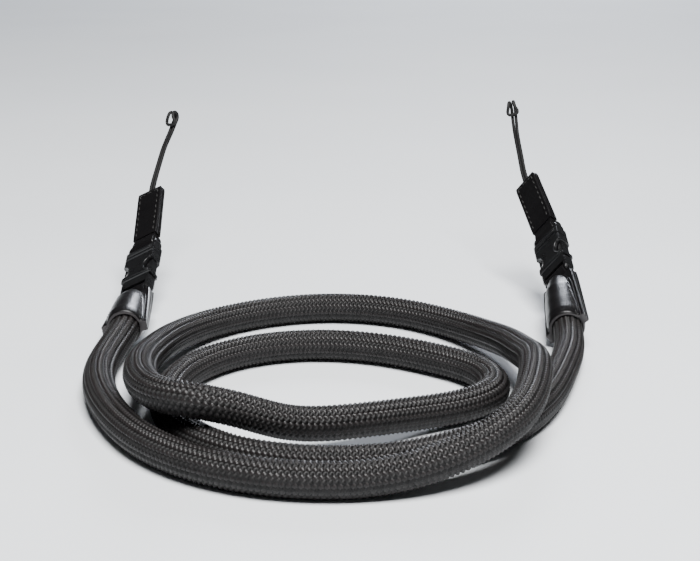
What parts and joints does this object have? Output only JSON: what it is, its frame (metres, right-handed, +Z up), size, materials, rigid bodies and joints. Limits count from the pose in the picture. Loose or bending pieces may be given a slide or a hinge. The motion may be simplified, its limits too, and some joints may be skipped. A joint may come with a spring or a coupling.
{
  "type": "coiled camera strap",
  "caption": "Braided rope neck strap lying in a loose coil, with a leather sleeve, a small buckle, a leather tab and a string loop at each end.",
  "frame": {"origin": "middle of the strap's footprint, on the floor that the coil lies on", "axes": "+Z up; +Y from the front of the coil towards the two raised ends and their hitches; +X to the viewer's right"},
  "size_m": [0.1472, 0.226, 0.0588],
  "materials": {
    "braid": "braided synthetic yarn, dark charcoal with a slight sheen",
    "leather": "smooth black leather, semi-gloss",
    "plastic": "moulded acetal, satin black",
    "cord": "thin braided black cord"
  },
  "bodies": {
    "root": {"rope": "braid", "sleeve_left": "leather", "sleeve_right": "leather", "buckle_socket_left": "plastic", "buckle_socket_right": "plastic", "buckle_plug_left": "plastic", "buckle_plug_right": "plastic", "tab_left": "leather", "tab_right": "leather", "string_loop_left": "cord", "string_loop_right": "cord"}
  },
  "joints": []
}
